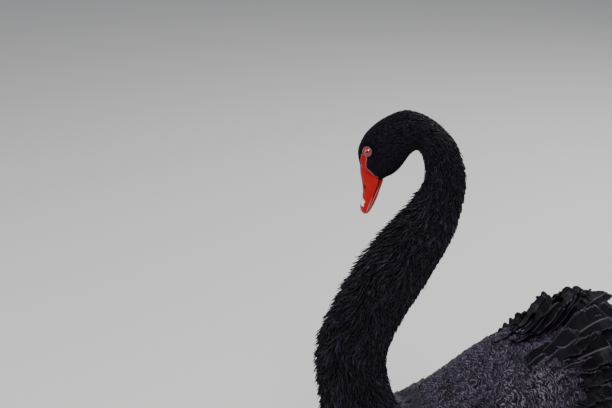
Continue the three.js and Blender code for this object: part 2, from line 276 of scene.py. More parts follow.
LEG_RADII = [26, 32, 25, 12, 9.6, 6.6, 5.8, 7.4, 6]
SCALES_BELOW = 0.136


def leg_tube():
    """The thigh, the ankle and the shank as one tube, with a ring of scutes every 4 mm."""
    path = smooth_path(LEG_PATH, 260)
    share = np.linspace(0, 8, 260)
    radius = np.interp(share, range(9), LEG_RADII)
    scutes = 0.42 * np.abs(np.sin(share * 14)) * smoothstep(share, 2.8, 3.4)
    return path_tube(path, radius + scutes, floor=2)


def toe_tube(angle, length):
    """A toe with two knuckles, ringed by small scutes, that lies flat on the floor."""
    heading = np.array([np.cos(angle), np.sin(angle), 0])
    shares = np.array([-0.04, 0.14, 0.32, 0.4, 0.52, 0.62, 0.7, 0.8, 0.9, 1.0])
    heights = np.array([8, 5.5, 4.4, 4.8, 4.0, 3.6, 4.2, 3.4, 3, 3.2])
    radii = np.array([7.4, 6.6, 5.2, 6.2, 5.2, 4.8, 5.4, 4.4, 4.4, 4.0])
    fine = np.linspace(shares[0], shares[-1], 150)
    path = FOOT_JOINT * [1, 1, 0] + heading * fine[:, None] * length
    path[:, 2] = np.interp(fine, shares, heights)
    radius = np.interp(fine, shares, radii) + 0.22 * np.abs(np.sin(fine * length * 1.1))
    radius[-3:] *= [0.9, 0.7, 0.4]
    return path_tube(path, radius, around=24, floor=0.0)


def claw_tube(angle, length):
    """A blunt claw that leaves the toe's end and bends down to the floor."""
    heading = np.array([np.cos(angle), np.sin(angle), 0])
    fine = np.linspace(0, 1, 24)
    path = FOOT_JOINT * [1, 1, 0] + heading * (length - 3 + (CLAW_LENGTH + 2) * fine[:, None])
    path[:, 2] = 3.6 + 2.2 * np.sin(fine * 2.4) - 1.6 * fine
    return path_tube(path, 3.1 * (1 - fine) ** 0.6 + 0.35, around=16, floor=0.1)


def web_sheet(first, second):
    """The web between two toes: rays from the foot's joint, whose free edge hangs in
    between the toes, as a closed sheet that is thinner and lower in the middle."""
    (angle_a, length_a), (angle_b, length_b) = first, second
    across = np.linspace(0, 1, 28)[:, None]
    out = np.linspace(0.02, 1, 40)[None, :]
    angle = angle_a + (angle_b - angle_a) * across
    length = (length_a + (length_b - length_a) * across) * 0.94 * (1 - 0.2 * np.sin(np.pi * across))
    x = FOOT_JOINT[0] - 3 + np.cos(angle) * length * out
    y = FOOT_JOINT[1] + np.sin(angle) * length * out
    crease = 0.35 * np.sin(out * 34 + 2 * np.sin(across * 9))
    top = 2.6 + 2.2 * (2 * across - 1) ** 2 * (1 - out) + crease * np.sin(np.pi * across)
    upper = np.stack([x, y, top + 0 * x], axis=-1)
    lower = np.stack([x, y, 0.35 + 0 * x], axis=-1)
    return np.concatenate([upper, lower[:, ::-1]], axis=1) * MM


def hind_toe():
    """The small hind toe, raised off the floor, with its claw drawn to a point."""
    places = FOOT_JOINT + [[-4, -3, 4], [-15, -6, 1], [-24, -8, -3], [-32, -10, -7]]
    radii = np.interp(np.linspace(0, 3, 60), range(4), [4.2, 4, 2.8, 0.7])
    return path_tube(smooth_path(places, 60), radii, around=20)


def on_side(points, hand):
    """Points of a shape made for the left, kept for 1 and mirrored to the right for -1,
    with the order round each ring turned so that its faces still look out."""
    return points if hand > 0 else (points * [1, -1, 1])[..., ::-1, :]


SIDES = ("left", 1), ("right", -1)
leg_parts = [leg_tube(), hind_toe(), web_sheet(TOES[0], TOES[1]), web_sheet(TOES[1], TOES[2])]
leg_parts += [toe_tube(angle, length) for angle, length in TOES]
cutters = bpy.data.collections.new("joined_to_skin")
for number, rings in enumerate(leg_parts + [on_side(rings, -1) for rings in leg_parts]):
    mesh = closed_tube(f"leg_part_{number}", rings)
    cutters.objects.link(bpy.data.objects.new(mesh.name, mesh))
for part in cutters.objects:
    join = skin.modifiers.new(part.name, "BOOLEAN")
    join.operation, join.solver, join.object = "UNION", "MANIFOLD", part
joined = bpy.data.meshes.new_from_object(skin.evaluated_get(bpy.context.evaluated_depsgraph_get()))
skin.modifiers.clear()
skin.data = joined
for part in list(cutters.objects):
    bpy.data.objects.remove(part)

# The face's bare skin: red from the bill to the eye, bounded behind by the feathers of the
# cheek and in front by a wedge of forehead feathers that comes to a point on the bill.
EYE_FORWARD, EYE_SIDE, EYE_UP, EYE_RADIUS = -6.2, 14.0, 732, 6.5
LORE_UP = [690, 697.6, 698.7, 703.4, 707.8, 710.2, 715.2, 722.7, 727]
LORE_BACK = [-22, -18.5, -14.6, -11.4, -6.6, -4.0, -3.6, -4.0, -3.2]
WEDGE_UP = [704.5, 706.5, 709, 712, 716, 722, 728]
WEDGE_HALF = [0, 2.5, 5.5, 7.2, 8.6, 11, 12.5]


def head_coordinates(points):
    """Forward, side and up in millimetres, in the upright plane of the turned head."""
    x, y = points[..., 0] / MM - NECK_AXIS_X, points[..., 1] / MM
    forward = x * np.cos(NECK_TURN) - y * np.sin(NECK_TURN)
    side = x * np.sin(NECK_TURN) + y * np.cos(NECK_TURN)
    return forward, side, points[..., 2] / MM


def bareness(points):
    """1 on the bare red skin before the eye and 0 among feathers, over half a millimetre."""
    forward, side, up = head_coordinates(points)
    ahead = forward - np.interp(up, LORE_UP, LORE_BACK)
    beside = np.abs(side) - np.interp(up, WEDGE_UP, WEDGE_HALF)
    below = EYE_UP - 4.5 - up
    inside = np.minimum(np.minimum(ahead, beside), below)
    return smoothstep(inside, -0.7, 0.7) * (up > 680)


def point_values(mesh):
    """The mesh's points as an array."""
    points = np.empty(len(mesh.vertices) * 3, np.float32)
    mesh.vertices.foreach_get("co", points)
    return points.reshape(-1, 3)


def add_attribute(mesh, name, values):
    """A number for each point of a mesh, which a material can read by name."""
    mesh.attributes.new(name, "FLOAT", "POINT").data.foreach_set("value", values.astype(np.float32))


def new_group(name, inputs, outputs):
    """An empty shader node group with named number, colour or vector sockets."""
    group = bpy.data.node_groups.new(name, "ShaderNodeTree")
    for direction, sockets in (("INPUT", inputs), ("OUTPUT", outputs)):
        for socket, kind, *start in sockets:
            made = group.interface.new_socket(socket, in_out=direction, socket_type=kind)
            if start:
                made.default_value = start[0]
    ends = group.nodes.new("NodeGroupInput"), group.nodes.new("NodeGroupOutput")
    return group, *ends


def node(tree, kind, links=None, **settings):
    """A node with its settings, and with each named or numbered input set or linked."""
    made = tree.nodes.new(kind)
    for setting, value in settings.items():
        setattr(made, setting, value)
    for socket, value in (links or {}).items():
        if isinstance(value, bpy.types.NodeSocket):
            tree.links.new(value, made.inputs[socket])
        else:
            made.inputs[socket].default_value = value
    return made


def math_node(tree, operation, *values):
    """The result of one arithmetic step."""
    return node(tree, "ShaderNodeMath", dict(enumerate(values)), operation=operation).outputs[0]


def mix_colors(tree, factor, first, second):
    """A colour that goes from first to second as factor goes from 0 to 1."""
    made = node(tree, "ShaderNodeMix", {0: factor, 6: first, 7: second}, data_type="RGBA")
    return made.outputs[2]


def object_place(tree):
    """Object coordinates, for patterns that stay on the bird."""
    return node(tree, "ShaderNodeTexCoord").outputs["Object"]


def attribute(tree, name):
    """A number stored on the mesh's points."""
    return node(tree, "ShaderNodeAttribute", attribute_name=name).outputs["Fac"]


def noise(tree, scale, detail=2.0):
    """Soft noise from 0 to 1 that stays on the bird."""
    sockets = {"Vector": object_place(tree), "Scale": scale, "Detail": detail}
    return node(tree, "ShaderNodeTexNoise", sockets).outputs["Fac"]


def remap(tree, value, low, high, start=0.0, end=1.0):
    """A value stretched from low..high to start..end and held at both ends."""
    return node(tree, "ShaderNodeMapRange", {0: value, 1: low, 2: high, 3: start, 4: end}).outputs[0]


def add_bump(tree, shader, height, strength, distance):
    """Puts a height on the shader's normal."""
    sockets = {"Height": height, "Strength": strength, "Distance": distance}
    bump = node(tree, "ShaderNodeBump", sockets)
    tree.links.new(bump.outputs["Normal"], shader.inputs["Normal"])


def color_shader(tree, shader, color):
    """Links a colour to the shader."""
    tree.links.new(color, shader.inputs["Base Color"])


def material_tree(name, **shader_values):
    """A new material's node tree and its Principled shader, with constants on its sockets."""
    material = bpy.data.materials.new(name)
    material.use_nodes = True
    shader = material.node_tree.nodes["Principled BSDF"]
    for socket, value in shader_values.items():
        shader.inputs[socket.replace("_", " ")].default_value = value
    return material, material.node_tree, shader


# Grain of bare skin, scales and horn: fine raised cells and a soft mottle, both in
# object space. The skin, the claws, the bill and the lids each use it at their own scale.
grain, grain_in, grain_out = new_group(
    "skin_grain",
    [("Cell Scale", "NodeSocketFloat", 900), ("Mottle Scale", "NodeSocketFloat", 120)],
    [("Height", "NodeSocketFloat"), ("Mottle", "NodeSocketFloat")],
)
sockets = {"Vector": object_place(grain), "Scale": grain_in.outputs["Cell Scale"]}
cells = node(grain, "ShaderNodeTexVoronoi", sockets).outputs["Distance"]
grain.links.new(cells, grain_out.inputs["Height"])
grain.links.new(noise(grain, grain_in.outputs["Mottle Scale"], 4), grain_out.inputs["Mottle"])


def group_node(tree, group, values):
    """A node group in a material, with constants on its sockets."""
    made = node(tree, "ShaderNodeGroup", node_tree=group)
    for socket, value in values.items():
        made.inputs[socket].default_value = value
    return made


def use_grain(tree, shader, cells, mottle, strength, depth):
    """Puts the grain's height on the shader's normal and gives back its mottle."""
    group = group_node(tree, grain, {"Cell Scale": cells, "Mottle Scale": mottle})
    add_bump(tree, shader, group.outputs["Height"], strength, depth)
    return group.outputs["Mottle"]


FEATHERED_SKIN = (0.004, 0.0035, 0.005, 1)
RED, DEEP_RED, RED_RIM = (0.42, 0.0, 0.002, 1), (0.27, 0.0, 0.001, 1), (0.3, 0.13, 0.13, 1)
skin_finish, tree, shader = material_tree("feathered_skin", Roughness=0.45, Specular_IOR_Level=0.12)
mottle = use_grain(tree, shader, cells=1100, mottle=160, strength=0.35, depth=0.0004)
bare = attribute(tree, "bare")
red = mix_colors(tree, mottle, DEEP_RED, RED)
covering = math_node(tree, "SUBTRACT", 1.0, bare)
rim = math_node(tree, "MULTIPLY", covering, math_node(tree, "MULTIPLY", bare, 3.2))
covered = mix_colors(tree, bare, FEATHERED_SKIN, red)
color_shader(tree, shader, mix_colors(tree, rim, covered, RED_RIM))

LEG_BLACK, LEG_GREY = (0.011, 0.0105, 0.011, 1), (0.035, 0.033, 0.034, 1)
leg_finish, tree, shader = material_tree("leg_scales", Roughness=0.42)
mottle = use_grain(tree, shader, cells=420, mottle=90, strength=0.6, depth=0.0008)
color_shader(tree, shader, mix_colors(tree, mottle, LEG_BLACK, LEG_GREY))

skin.data.materials.clear()
for finish in (skin_finish, leg_finish):
    skin.data.materials.append(finish)
skin_points = point_values(skin.data)
add_attribute(skin.data, "bare", bareness(skin_points))
face_heights = np.empty(len(skin.data.polygons) * 3, np.float32)
skin.data.polygons.foreach_get("center", face_heights)
skin.data.polygons.foreach_set("material_index", (face_heights[2::3] < SCALES_BELOW).astype(np.int32))
skin.data.polygons.foreach_set("use_smooth", np.ones(len(skin.data.polygons), bool))
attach(skin, "root")
flesh = ["head", "neck_arch", "neck_upper", "neck_middle", "neck_lower", "trunk"]
flesh += [f"{limb}_{name}" for limb in ("thigh", "tarsus", "foot") for name, _ in SIDES]
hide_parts(*flesh)

# Claws: blunt black horn, one at the end of each front toe. Each is set into the toe's
# tip and bends down to the floor.
claw_finish, tree, shader = material_tree("claw_horn", Base_Color=(0.02, 0.018, 0.017, 1), Roughness=0.3)
use_grain(tree, shader, cells=700, mottle=60, strength=0.15, depth=0.0003)
for name, hand in SIDES:
    for number, (angle, length) in enumerate(TOES):
        mesh = closed_tube(f"claw_{name}_{number}", on_side(claw_tube(angle, length), hand))
        claw = place_piece(mesh.name, mesh, [claw_finish])
        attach(claw, "root")

# Bill: horn over bone, as red as the face. The upper half carries the nostrils, a pale bar
# across its end and the nail, and its edges overhang the narrower lower half along a mouth
# line. The nostrils, the mouth line and the inside of the mouth are painted dark as shade,
# and a thin pale line on either side of the mouth line is a painted highlight.
BILL_TOP, BILL_LENGTH, BILL_SLOPE = 708, 66, 0.62
BILL = np.array([
    [0, 3, -22, -27, 13.5],
    [0.14, 2.6, -21, -25.4, 13.2],
    [0.35, 0.2, -18.3, -23, 12.4],
    [0.55, -1.2, -14.6, -20.3, 12],
    [0.72, 0.3, -11.2, -16.7, 12],
    [0.86, 1.8, -8.2, -12.8, 11.6],
    [0.95, 0.6, -6.6, -10, 8.6],
    [1, -2.6, -5.8, -7.8, 4.2],
])
NOSTRIL_FORWARD, NOSTRIL_UP, NOSTRIL_LENGTH, NOSTRIL_WIDTH = -3.7, 680.3, 4.2, 1.2
BILL_ALONG, BILL_ACROSS = 170, 72
BAR_SHARE, BAR_HALF, BAR_REACH = 0.715, 0.084, 9.6


def bill_half(upper):
    """One half of the bill: rings down its length. Each ring runs over the dome from
    edge to edge, an arc whose height is the power of a sine, and back along the mouth."""
    row = np.linspace(0, len(BILL) - 1, BILL_ALONG)[:, None]
    share, culmen, mouth, chin, width = np.moveaxis(along_table(BILL, row), -1, 0)
    edge = mouth + (0.3 if upper else -0.5)
    dome = culmen if upper else chin
    width = width if upper else width - 1.3 * smoothstep(share, 0.0, 0.1)
    angle = np.linspace(0, np.pi, BILL_ACROSS)[None, :]
    over = edge + (dome - edge) * np.sin(angle) ** (0.72 if upper else 0.6)
    out = width * np.cos(angle)
    back = np.linspace(-0.9, 0.9, BILL_ACROSS // 2)[None, :]
    hollow = edge + (dome - edge) * 0.35 * (1 - (back / 0.95) ** 2)
    forward = np.concatenate([over, hollow], axis=1)
    side = np.concatenate([out, width * back], axis=1)
    rise = BILL_SLOPE * (1 - share)
    up = BILL_TOP - 0.4 - share * BILL_LENGTH + (forward - culmen) * rise
    return forward, side, up, share + 0 * forward


upper_forward, upper_side, upper_up, upper_share = bill_half(True)
nostril = np.exp(
    -(((upper_up - NOSTRIL_UP - 0.25 * (upper_forward - NOSTRIL_FORWARD)) / NOSTRIL_LENGTH) ** 2)
    - ((upper_forward - NOSTRIL_FORWARD) / NOSTRIL_WIDTH) ** 2
)
nostril = nostril * (np.abs(upper_side) > 3)
upper_side = upper_side * (1 - 0.34 * nostril)
upper_points = in_plane(upper_forward, upper_side, upper_up, NECK_TURN)
middle_share = BAR_SHARE + 0.003 * upper_side
bar_half = BAR_HALF - 0.0003 * upper_side**2 + 0.003 * np.sin(upper_side * 1.1)
pale_bar = smoothstep(bar_half - np.abs(upper_share - middle_share), -0.012, 0.012)
bar_reach = BAR_REACH + 0.5 * np.sin(upper_up * 0.8)
pale_bar = pale_bar * smoothstep(bar_reach - np.abs(upper_side), -0.5, 0.5)
nail = smoothstep(upper_share, 0.84, 0.88) * smoothstep(7 - np.abs(upper_side), -0.5, 0.5)
lower_forward, lower_side, lower_up, lower_share = bill_half(False)
lower_points = in_plane(lower_forward, lower_side, lower_up, NECK_TURN)
above = upper_forward - upper_forward[:, :1]
# Painted highlight: a thin pale line on the upper half, just above its edge.
upper_rim_highlight = 0.5 * smoothstep(above, 0.55, 0.8) * (1 - smoothstep(above, 1.0, 1.5))
upper_rim_highlight *= smoothstep(upper_share, 0.15, 0.5)
mouth_side = np.arange(upper_side.shape[1])[None, :] >= BILL_ACROSS
# Painted shade: the nostrils, a thin line along the upper half's edge and the whole inside of the mouth
# are coloured near black.
nostril = np.maximum(nostril**2, 1 - smoothstep(above, 0.3, 0.6))
nostril = np.where(mouth_side, 1.0, nostril)
below = lower_forward[:, :1] - lower_forward
# Painted highlight: a thin pale line along the lower half's edge.
lower_rim_highlight = 0.4 * (1 - smoothstep(below, 0.4, 0.9)) * smoothstep(lower_share, 0.1, 0.4)
lower_rim_highlight = np.where(mouth_side, 0.0, lower_rim_highlight)

# The pale colour serves both the bill's own pale bar and the painted highlights by the mouth line. The
# dark colour is painted shade.
BILL_PALE_AND_HIGHLIGHT, BILL_NAIL, BILL_PAINTED_SHADE = (0.72, 0.68, 0.66, 1), (0.42, 0.03, 0.04, 1), (0.006, 0.001, 0.002, 1)
bill_finish, tree, shader = material_tree(
    "bill_horn", Roughness=0.36, Coat_Weight=0.05, Coat_Roughness=0.2, Specular_IOR_Level=0.2
)
mottle = use_grain(tree, shader, cells=800, mottle=110, strength=0.12, depth=0.0004)
color = mix_colors(tree, mottle, DEEP_RED, RED)
for label, tint in (("nail", BILL_NAIL), ("pale_bar_and_highlight", BILL_PALE_AND_HIGHLIGHT), ("painted_shade", BILL_PAINTED_SHADE)):
    color = mix_colors(tree, attribute(tree, label), color, tint)
color_shader(tree, shader, color)

# The pale mask joins the real pale bar and the painted highlight lines. The dark mask is painted shade.
upper_masks = {"pale_bar_and_highlight": np.maximum(pale_bar, upper_rim_highlight), "nail": nail, "painted_shade": nostril}
lower_masks = {"pale_bar_and_highlight": lower_rim_highlight, "painted_shade": np.where(mouth_side, 1.0, 0 * lower_side)}
for half, rings, masks in (("upper", upper_points, upper_masks), ("lower", lower_points, lower_masks)):
    mesh = closed_tube(f"bill_{half}_horn", rings)
    for label, mask in masks.items():
        add_attribute(mesh, label, np.append(mask.ravel(), [0.0, 0.0]))
    horn = place_piece(mesh.name, mesh, [bill_finish])
    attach(horn, "root")
    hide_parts(f"bill_{half}")

# Eyes: a glossy ball with a red iris round a small black pupil, looking sideways and a
# little up, in a ring of bare lid that is grey-pink and finely beaded.
GAZE = np.radians(15), np.radians(8)
SOCKET = np.radians(28), np.radians(7)
PUPIL, IRIS = 0.3, 0.88


def eye_frame(hand, ahead_and_up):
    """The eye's centre in metres, and an axis turned ahead and up from straight sideways,
    with two directions square to it."""
    turn_ahead, turn_up = ahead_and_up
    centre = in_plane(EYE_FORWARD, hand * EYE_SIDE, EYE_UP, NECK_TURN)
    ahead = np.array([np.cos(NECK_TURN), -np.sin(NECK_TURN), 0])
    sideways = hand * np.array([np.sin(NECK_TURN), np.cos(NECK_TURN), 0])
    level = np.cos(turn_ahead) * sideways + np.sin(turn_ahead) * ahead
    axis = np.cos(turn_up) * level + np.sin(turn_up) * np.array([0, 0, 1])
    first = unit(np.cross([0, 0, 1], axis))
    return centre, axis, first, np.cross(axis, first)


def turned_profile(frame_of_eye, radius, height, around):
    """A profile of (radius, height) in millimetres, turned about the eye's axis."""
    centre, axis, first, second = frame_of_eye
    angle = np.linspace(0, 2 * np.pi, around, endpoint=False)[None, :, None]
    spoke = first * np.cos(angle) + second * np.sin(angle)
    return centre + (spoke * radius[:, None, None] + axis * height[:, None, None]) * MM


EYE_IRIS, EYE_IRIS_DARK = (0.42, 0.0, 0.006, 1), (0.16, 0.0, 0.003, 1)
EYE_RIM, EYE_PUPIL = (0.05, 0.004, 0.006, 1), (0.002, 0.002, 0.002, 1)
eye_finish, tree, shader = material_tree(
    "eye_gloss", Roughness=0.08, Coat_Weight=1.0, Coat_Roughness=0.02, IOR=1.4
)
radial = attribute(tree, "radial")
iris = mix_colors(tree, noise(tree, 1600, 3), EYE_IRIS_DARK, EYE_IRIS)
in_iris = math_node(tree, "GREATER_THAN", radial, PUPIL)
past_iris = math_node(tree, "GREATER_THAN", radial, IRIS)
ringed = mix_colors(tree, past_iris, iris, EYE_RIM)
color_shader(tree, shader, mix_colors(tree, in_iris, EYE_PUPIL, ringed))

LID_PINK, LID_GREY = (0.2, 0.035, 0.045, 1), (0.12, 0.065, 0.075, 1)
lid_finish, tree, shader = material_tree("eyelid_skin", Roughness=0.5, Specular_IOR_Level=0.3)
mottle = use_grain(tree, shader, cells=1500, mottle=300, strength=0.5, depth=0.0003)
color_shader(tree, shader, mix_colors(tree, mottle, LID_PINK, LID_GREY))
LID_RADIUS, LID_THICKNESS, LID_BEADS = 5.2, 0.62, 32
EYE_AROUND, LID_AROUND, LID_TURNS = 64, 96, 28
for name, hand in SIDES:
    slope = np.linspace(0.004, np.pi - 0.004, 60)
    bulge = 0.35 * np.exp(-((slope / 0.5) ** 2))
    radius, height = EYE_RADIUS * np.sin(slope), EYE_RADIUS * np.cos(slope) + bulge
    rings = turned_profile(eye_frame(hand, GAZE), radius, height, EYE_AROUND)
    mesh = closed_tube(f"eyeball_{name}", rings)
    from_pupil = np.where(slope < 1.5, radius / LID_RADIUS, 1.2)
    add_attribute(mesh, "radial", np.append(np.repeat(from_pupil, EYE_AROUND), [0.0, 1.2]))
    ball = place_piece(mesh.name, mesh, [eye_finish])
    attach(ball, "root")
    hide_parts(f"eye_{name}")
    turn = np.linspace(0, 2 * np.pi, LID_TURNS, endpoint=False)
    lid_height = np.sqrt(EYE_RADIUS**2 - LID_RADIUS**2)
    radius = LID_RADIUS + 0.45 + LID_THICKNESS * np.cos(turn) * 1.7
    height = lid_height + 0.25 + LID_THICKNESS * np.sin(turn)
    rings = turned_profile(eye_frame(hand, SOCKET), radius, height, LID_AROUND)
    around = np.arange(LID_AROUND)
    beads = 1 + 0.012 * np.sin(around * 2 * np.pi * LID_BEADS / LID_AROUND)[None, :, None]
    centre = eye_frame(hand, SOCKET)[0]
    rings = centre + (rings - centre) * beads
    following, last = (around + 1) % LID_AROUND, (LID_TURNS - 1) * LID_AROUND
    seam = np.stack([last + around, last + following, following, around], axis=-1)
    lid_quads = np.concatenate([grid_faces(LID_TURNS, LID_AROUND, True), seam])
    mesh, _ = smooth_mesh(f"eyelid_{name}", rings, lid_quads)
    lid = place_piece(mesh.name, mesh, [lid_finish])
    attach(lid, "root")

# Coat: every feather is a thin closed vane of a few faces, rooted under the surface and
# lying back along the body. The surface carries the folded wings, a low swelling each side.
WING_STATIONS = np.array([
    [18.7, 62, 84, 4],
    [19.2, 36, 104, 9],
    [20, 30, 112, 13],
    [21, 24, 113, 14],
    [22, 18, 110, 14],
    [23, 13, 105, 16],
    [24, 9, 100, 19],
    [25, 6, 95, 24],
    [26, 8, 88, 22],
    [26.9, 14, 70, 12],
])
PATCH = 0.003


def degrees_down(angle):
    """Degrees down from the middle of the back, the same on both sides."""
    return np.degrees(np.arccos(np.clip(np.cos(angle), -1, 1)))


def folded_wing(row, angle):
    """Millimetres that the folded wing stands out of the body: the station's thickness
    times the root of a sine from the wing's upper edge to its lower edge."""
    top, bottom, thick = (np.interp(row, WING_STATIONS[:, 0], WING_STATIONS[:, k]) for k in (1, 2, 3))
    across = np.clip((degrees_down(angle) - top) / (bottom - top), 0, 1)
    ends = smoothstep(row, 18.4, 19.4) * (1 - smoothstep(row, 26.2, 27))
    ends = ends * (0.3 + 0.7 * smoothstep(row, 20.5, 24))
    return thick * np.sin(np.pi * across) ** 0.8 * ends


def coat_surface(row, angle, lift=0.0):
    """The body's outline with its folded wings on it."""
    return body_surface(row, angle, lift + folded_wing(row, angle))


def staggered_roots(row_from, row_to, spacing, seed, surface=body_surface):
    """Rows and angles of feather roots in staggered rings, spaced in millimetres by
    spacing(row). Where the rings crowd together, on the inside of a bend, some are left out."""
    rng = np.random.default_rng(seed)
    fine, ring = np.linspace(row_from, row_to, 500), np.linspace(0, 2 * np.pi, 181)
    grid = surface(fine[:, None], ring[None, :]) / MM
    steps = np.linalg.norm(np.diff(grid, axis=0), axis=-1)
    run = np.concatenate([[0], np.cumsum(steps.max(axis=1) / spacing(fine[1:]))])
    lines = np.interp(np.arange(run[-1]), run, fine)
    rows, angles = [], []
    for number, line in enumerate(lines):
        loop = surface(line, ring) / MM
        girth = np.concatenate([[0], np.cumsum(np.linalg.norm(np.diff(loop, axis=0), axis=-1))])
        count = max(int(girth[-1] / spacing(line)), 6)
        spots = (np.arange(count) + 0.5 * (number % 2) + rng.uniform(-0.28, 0.28, count)) / count
        angle = np.interp(np.mod(spots, 1) * girth[-1], girth, ring)
        near = np.clip(np.searchsorted(fine, line), 1, 499) - 1
        crowding = np.interp(angle, ring, steps[near] / steps[near].max())
        kept = rng.uniform(0, 1, count) < crowding * 1.15
        stagger = rng.uniform(-0.3, 0.3, kept.sum()) * (lines[1] - lines[0])
        rows.append(line + stagger)
        angles.append(angle[kept])
    return np.concatenate(rows), np.concatenate(angles)


def vane_grid(along, across):
    """Places on one vane: u from root to tip, v from edge to edge over the top and back
    beneath, and 0 or 1 for the top or the underside."""
    u = 1 - (1 - np.linspace(0, 1, along)) ** 1.45
    over = np.linspace(-1, 1, across)
    v = np.concatenate([over, over[-2:0:-1]])
    under = np.concatenate([np.zeros(across), np.ones(across - 2)])
    return u[:, None] + 0 * v, v + 0 * u[:, None], under + 0 * u[:, None]


def vane_outline(u, root, round_tip):
    """Half width of a vane along its length, from 0 to 1: narrow at the root, widest past
    the middle, and rounded or pointed at the tip by the power of the last fall."""
    swell = root + (1 - root) * np.sin(np.minimum(u * 1.5, 1) * np.pi / 2)
    return swell * (1 - np.clip(u, 0, 1) ** round_tip) ** 0.6 + 0.03


def coat_piece(name, points, patch_rows, patch_angles, grid, tone, finish, slot_name, **more):
    """One mesh of all vanes of a region: points is (vanes, along, around, 3). Each vane
    takes a small patch of the unwrapped body, at its root, in the map OFBake, and its own
    length and width in the map Vane. Its tone and other values are stored on its points."""
    count, along, around = points.shape[:3]
    u, v, under = grid
    vane_start = np.arange(count)[:, None] * along * around
    quads = (grid_faces(along, around, True)[None] + vane_start[:, None]).reshape(-1, 4)
    first = np.arange(around)[::-1][None, :] + vane_start
    last = np.arange(around)[None, :] + vane_start + (along - 1) * around
    mesh, corners = smooth_mesh(name, points, quads, first, last)
    place = np.stack([patch_rows, np.mod(patch_angles, 2 * np.pi) / (2 * np.pi)], axis=-1)
    patch = np.stack([u - 0.5, v / 2 + 0.1 * under], axis=-1) * PATCH
    unwrap = 0.004 + 0.992 * place[:, None, None, :] + patch[None]
    vane = np.broadcast_to(np.stack([u, v * 0.5 + 0.5], axis=-1), unwrap.shape)
    for label, coordinates in (("OFBake", unwrap), ("Vane", vane)):
        layer = mesh.uv_layers.new(name=label)
        layer.data.foreach_set("uv", coordinates.reshape(-1, 2)[corners].astype(np.float32).ravel())
    for label, value in {"tone": tone, "white": np.zeros(count), **more}.items():
        value = value[:, None, None] if value.ndim == 1 else value
        add_attribute(mesh, label, np.broadcast_to(value, points.shape[:3]).ravel())
    piece = place_piece(name, mesh, [finish])
    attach(piece, "root")
    return piece


def row_per_mm(surface, rows, angles):
    """How far the row number moves for each millimetre run along the surface."""
    ahead = surface(rows + 0.02, angles) - surface(rows - 0.02, angles)
    return 0.04 * MM / np.maximum(np.linalg.norm(ahead, axis=-1), 0.04 * MM)


def per_vane(value, axes=2):
    """One number for each vane, or one for all, shaped to meet the places on a vane."""
    return np.reshape(value, (-1,) + (1,) * axes)


def lying_feathers(
    rows, angles, length, width, turn, root_depth, tip_rise, camber, grid, round_tip,
    surface=coat_surface, ripple=0.0, waves=6, phase=0.0, bend=0.0, flare=0.0, thickness=0.25,
):
    """Feathers that follow the body. Each point is found from its root by its run along
    the feather and across it, divided by the surface's own stretch, and its height goes
    from the root's depth to the tip's rise as a power, plus a camber across the vane."""
    u, v, under = (part[None] for part in grid)
    root_rate = row_per_mm(surface, rows, angles)
    halfway_rate = row_per_mm(surface, rows + 0.5 * length * root_rate, angles)
    row_rate = per_vane(np.minimum(np.sqrt(root_rate * halfway_rate), 3 * np.median(root_rate)))
    aside = surface(rows, angles + 0.02) - surface(rows, angles - 0.02)
    angle_rate = per_vane(np.minimum(0.04 * MM / np.linalg.norm(aside, axis=-1), 0.12))
    length, width, heading = per_vane(length), per_vane(width), per_vane(turn)
    wave = ripple * np.sin(u * waves * 2 * np.pi + per_vane(phase) + 2.5 * v)
    waviness = 1 + 0.12 * np.sign(wave) * np.abs(wave) ** 0.5
    across = v * width * vane_outline(u, 0.55, round_tip) * waviness + per_vane(bend) * width * u**2
    run = u * length
    s = per_vane(rows) + (run * np.cos(heading) - across * np.sin(heading)) * row_rate
    phi = per_vane(angles) + (run * np.sin(heading) + across * np.cos(heading)) * angle_rate
    lift = -per_vane(root_depth) + per_vane(root_depth + tip_rise) * u**0.85
    lift = lift + camber * width * (1 - v**2) - thickness * under + per_vane(flare) * u**2
    lift = lift + wave * np.abs(v) ** 1.5 * width * np.minimum(u * 2, 1)
    return surface(s, phi, lift)


def lie(angles, slope):
    """Turn of the feathers' lie from straight back: down the flanks on both sides."""
    return slope * np.sin(angles)


def feather_spacing(share):
    """Spacing of roots as a share of the feathers' length at each row."""
    return lambda row: share * feather_length(row)


# Barbs of a vane: fine slanting lines on both sides of a shaft, and masks for the shaft
# and the outer edge, read from the vane's own length and width.
barbs, barbs_in, barbs_out = new_group(
    "feather_barbs",
    [("Barb Count", "NodeSocketFloat", 60), ("Edge Width", "NodeSocketFloat", 0.1)],
    [("Height", "NodeSocketFloat"), ("Edge", "NodeSocketFloat"), ("Shaft", "NodeSocketFloat")],
)
vane_place = node(barbs, "ShaderNodeUVMap", uv_map="Vane").outputs[0]
down_vane, over_vane, _ = node(barbs, "ShaderNodeSeparateXYZ", {0: vane_place}).outputs
off_middle = math_node(barbs, "ABSOLUTE", math_node(barbs, "SUBTRACT", over_vane, 0.5))
from_shaft = math_node(barbs, "MULTIPLY", off_middle, 2.0)
slant = math_node(barbs, "SUBTRACT", down_vane, math_node(barbs, "MULTIPLY", from_shaft, 0.3))
vane_noise = noise(barbs, 260)
barb_turns = math_node(barbs, "MULTIPLY", slant, barbs_in.outputs["Barb Count"])
barb_turns = math_node(barbs, "ADD", barb_turns, math_node(barbs, "MULTIPLY", vane_noise, 6.0))
barbs.links.new(math_node(barbs, "SINE", barb_turns), barbs_out.inputs["Height"])
edge_start = math_node(barbs, "SUBTRACT", 1.0, barbs_in.outputs["Edge Width"])
frayed = math_node(barbs, "ADD", from_shaft, math_node(barbs, "MULTIPLY", vane_noise, 0.12))
edge, tip = remap(barbs, frayed, edge_start, 1.06), remap(barbs, down_vane, 0.93, 1.0)
barbs.links.new(math_node(barbs, "MAXIMUM", edge, tip), barbs_out.inputs["Edge"])
barbs.links.new(remap(barbs, from_shaft, 0.07, 0.02), barbs_out.inputs["Shaft"])
